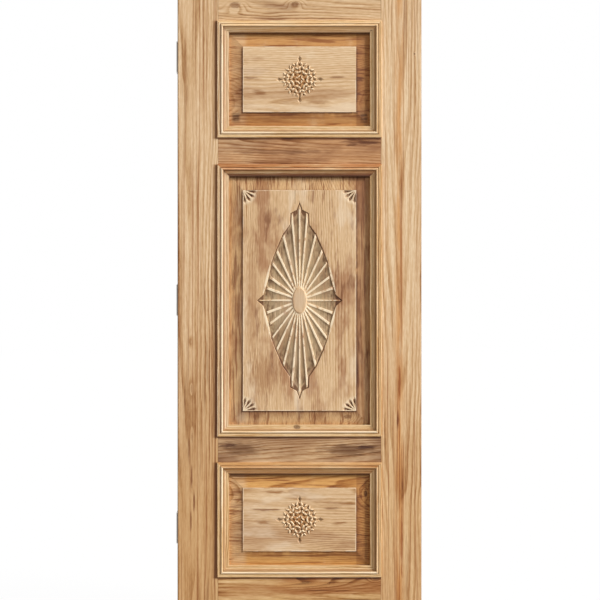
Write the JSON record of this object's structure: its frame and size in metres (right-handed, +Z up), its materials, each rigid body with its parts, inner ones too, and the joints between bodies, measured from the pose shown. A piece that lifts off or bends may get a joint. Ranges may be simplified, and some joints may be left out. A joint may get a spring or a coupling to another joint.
{
  "type": "carved door",
  "caption": "Pine door leaf with raised panels in bolection mouldings, a carved sunburst with corner fans, carved rosettes and butt hinges on its left edge",
  "frame": {"origin": "middle of the bottom edge of the leaf, halfway through its thickness", "axes": "X across the leaf from the hinge edge to the lock edge, Y from the carved front to the back, Z up"},
  "size_m": [0.807, 0.0685, 2.1],
  "materials": {
    "frame_pine": "satin",
    "panel_pine": "satin",
    "moulding_pine": "satin",
    "hinge_steel": "satin"
  },
  "bodies": {
    "hinge_fixings": {"upper_hinge_frame_plate": "hinge_steel", "upper_hinge_pin": "hinge_steel", "middle_hinge_frame_plate": "hinge_steel", "middle_hinge_pin": "hinge_steel", "lower_hinge_frame_plate": "hinge_steel", "lower_hinge_pin": "hinge_steel"},
    "door_leaf": {"hinge_stile": "frame_pine", "lock_stile": "frame_pine", "top_rail": "frame_pine", "upper_mid_rail": "frame_pine", "lower_mid_rail": "frame_pine", "bottom_rail": "frame_pine", "tenon_wedges": "frame_pine", "upper_panel": "panel_pine", "middle_panel": "panel_pine", "lower_panel": "panel_pine", "upper_moulding_top": "moulding_pine", "upper_moulding_bottom": "moulding_pine", "upper_moulding_left": "moulding_pine", "upper_moulding_right": "moulding_pine", "middle_moulding_top": "moulding_pine", "middle_moulding_bottom": "moulding_pine", "middle_moulding_left": "moulding_pine", "middle_moulding_right": "moulding_pine", "lower_moulding_top": "moulding_pine", "lower_moulding_bottom": "moulding_pine", "lower_moulding_left": "moulding_pine", "lower_moulding_right": "moulding_pine", "upper_hinge_door_plate": "hinge_steel", "middle_hinge_door_plate": "hinge_steel", "lower_hinge_door_plate": "hinge_steel"}
  },
  "joints": [
    {"name": "door_swing", "type": "hinge", "parent": "hinge_fixings", "child": "door_leaf", "pos_m": [-0.401, 0.0295, 0], "axis": [0, 0, 1], "range_deg": [0, 180]}
  ]
}
